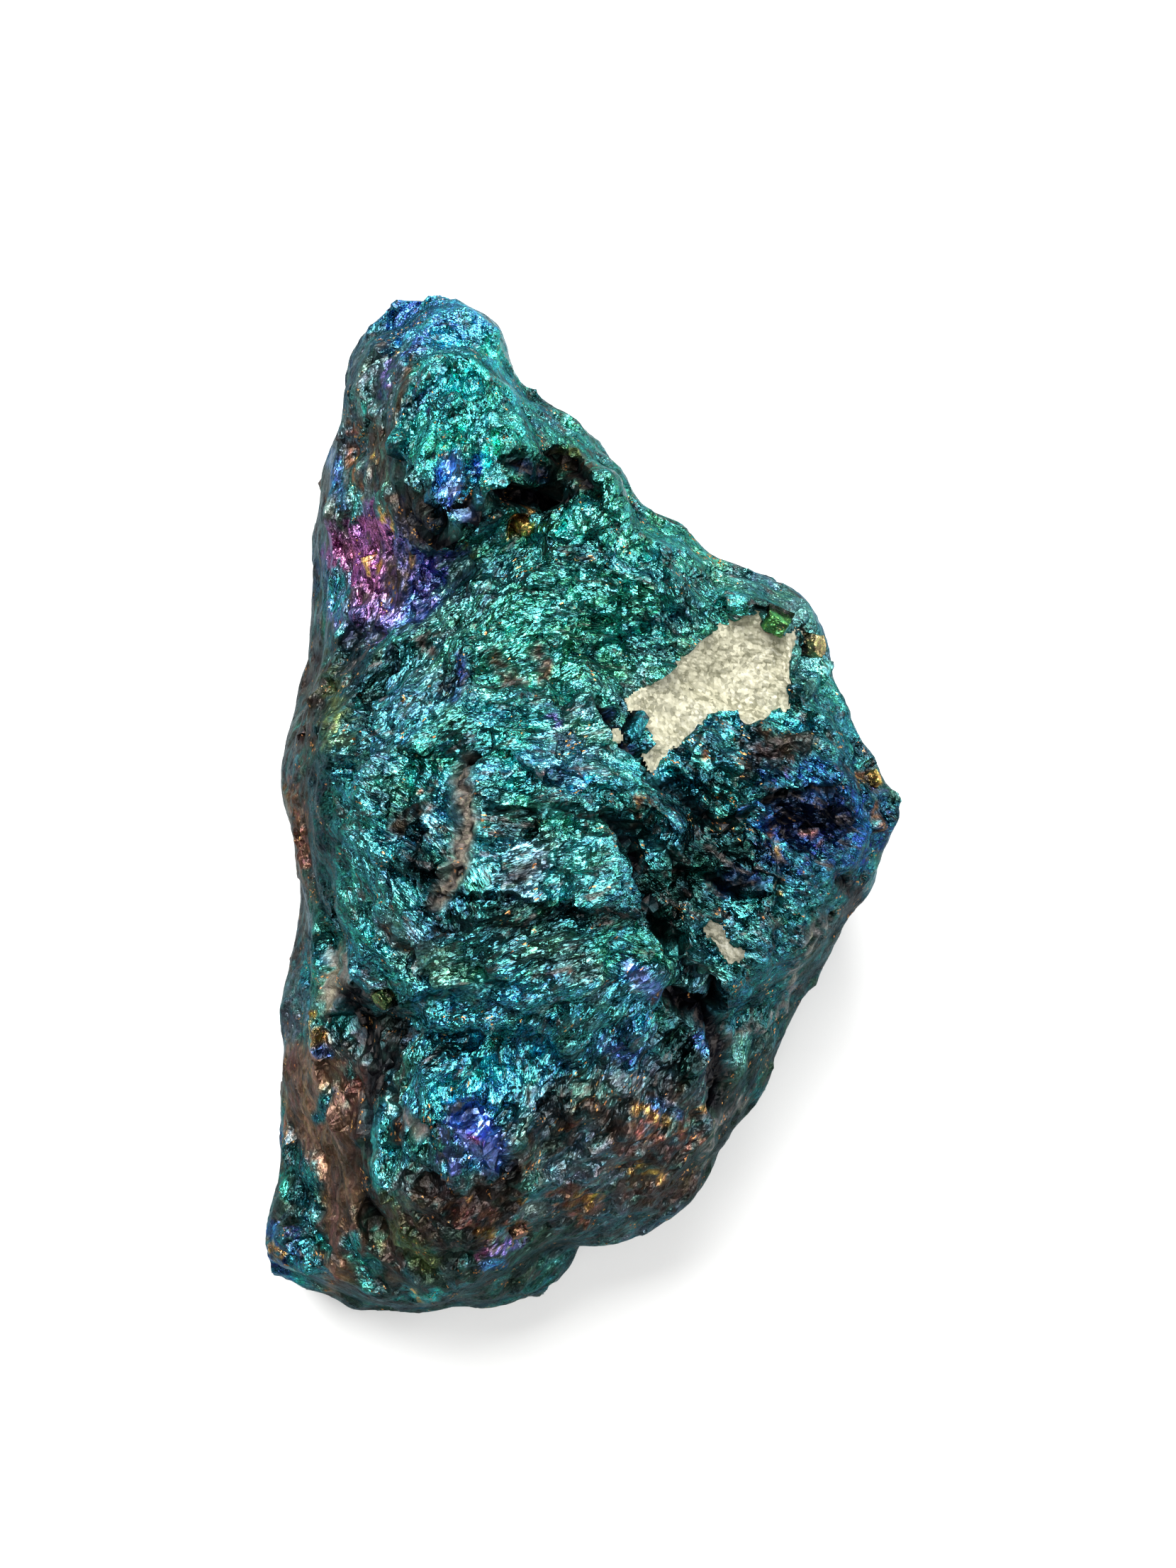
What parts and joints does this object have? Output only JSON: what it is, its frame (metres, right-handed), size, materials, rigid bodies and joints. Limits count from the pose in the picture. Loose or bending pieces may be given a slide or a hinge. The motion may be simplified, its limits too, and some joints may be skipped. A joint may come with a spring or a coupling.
{
  "type": "chalcopyrite specimen",
  "caption": "Rough palm-sized lump of tarnished chalcopyrite with a pale quartz patch, lying on a small flat spot.",
  "frame": {"origin": "under the middle of the lump's box, on the surface that its flat spot rests on", "axes": "+Y along the lump from its foot to its crown, +X to the right of its best face, +Z out of that face, up"},
  "size_m": [0.0334, 0.0542, 0.024],
  "materials": {
    "tarnished_ore": "iridescent teal metallic tarnish over broken plates, with blue, purple, gold and copper patches",
    "quartz": "pale sugary grains"
  },
  "bodies": {
    "root": {"chalcopyrite_lump": "tarnished_ore"}
  },
  "joints": []
}
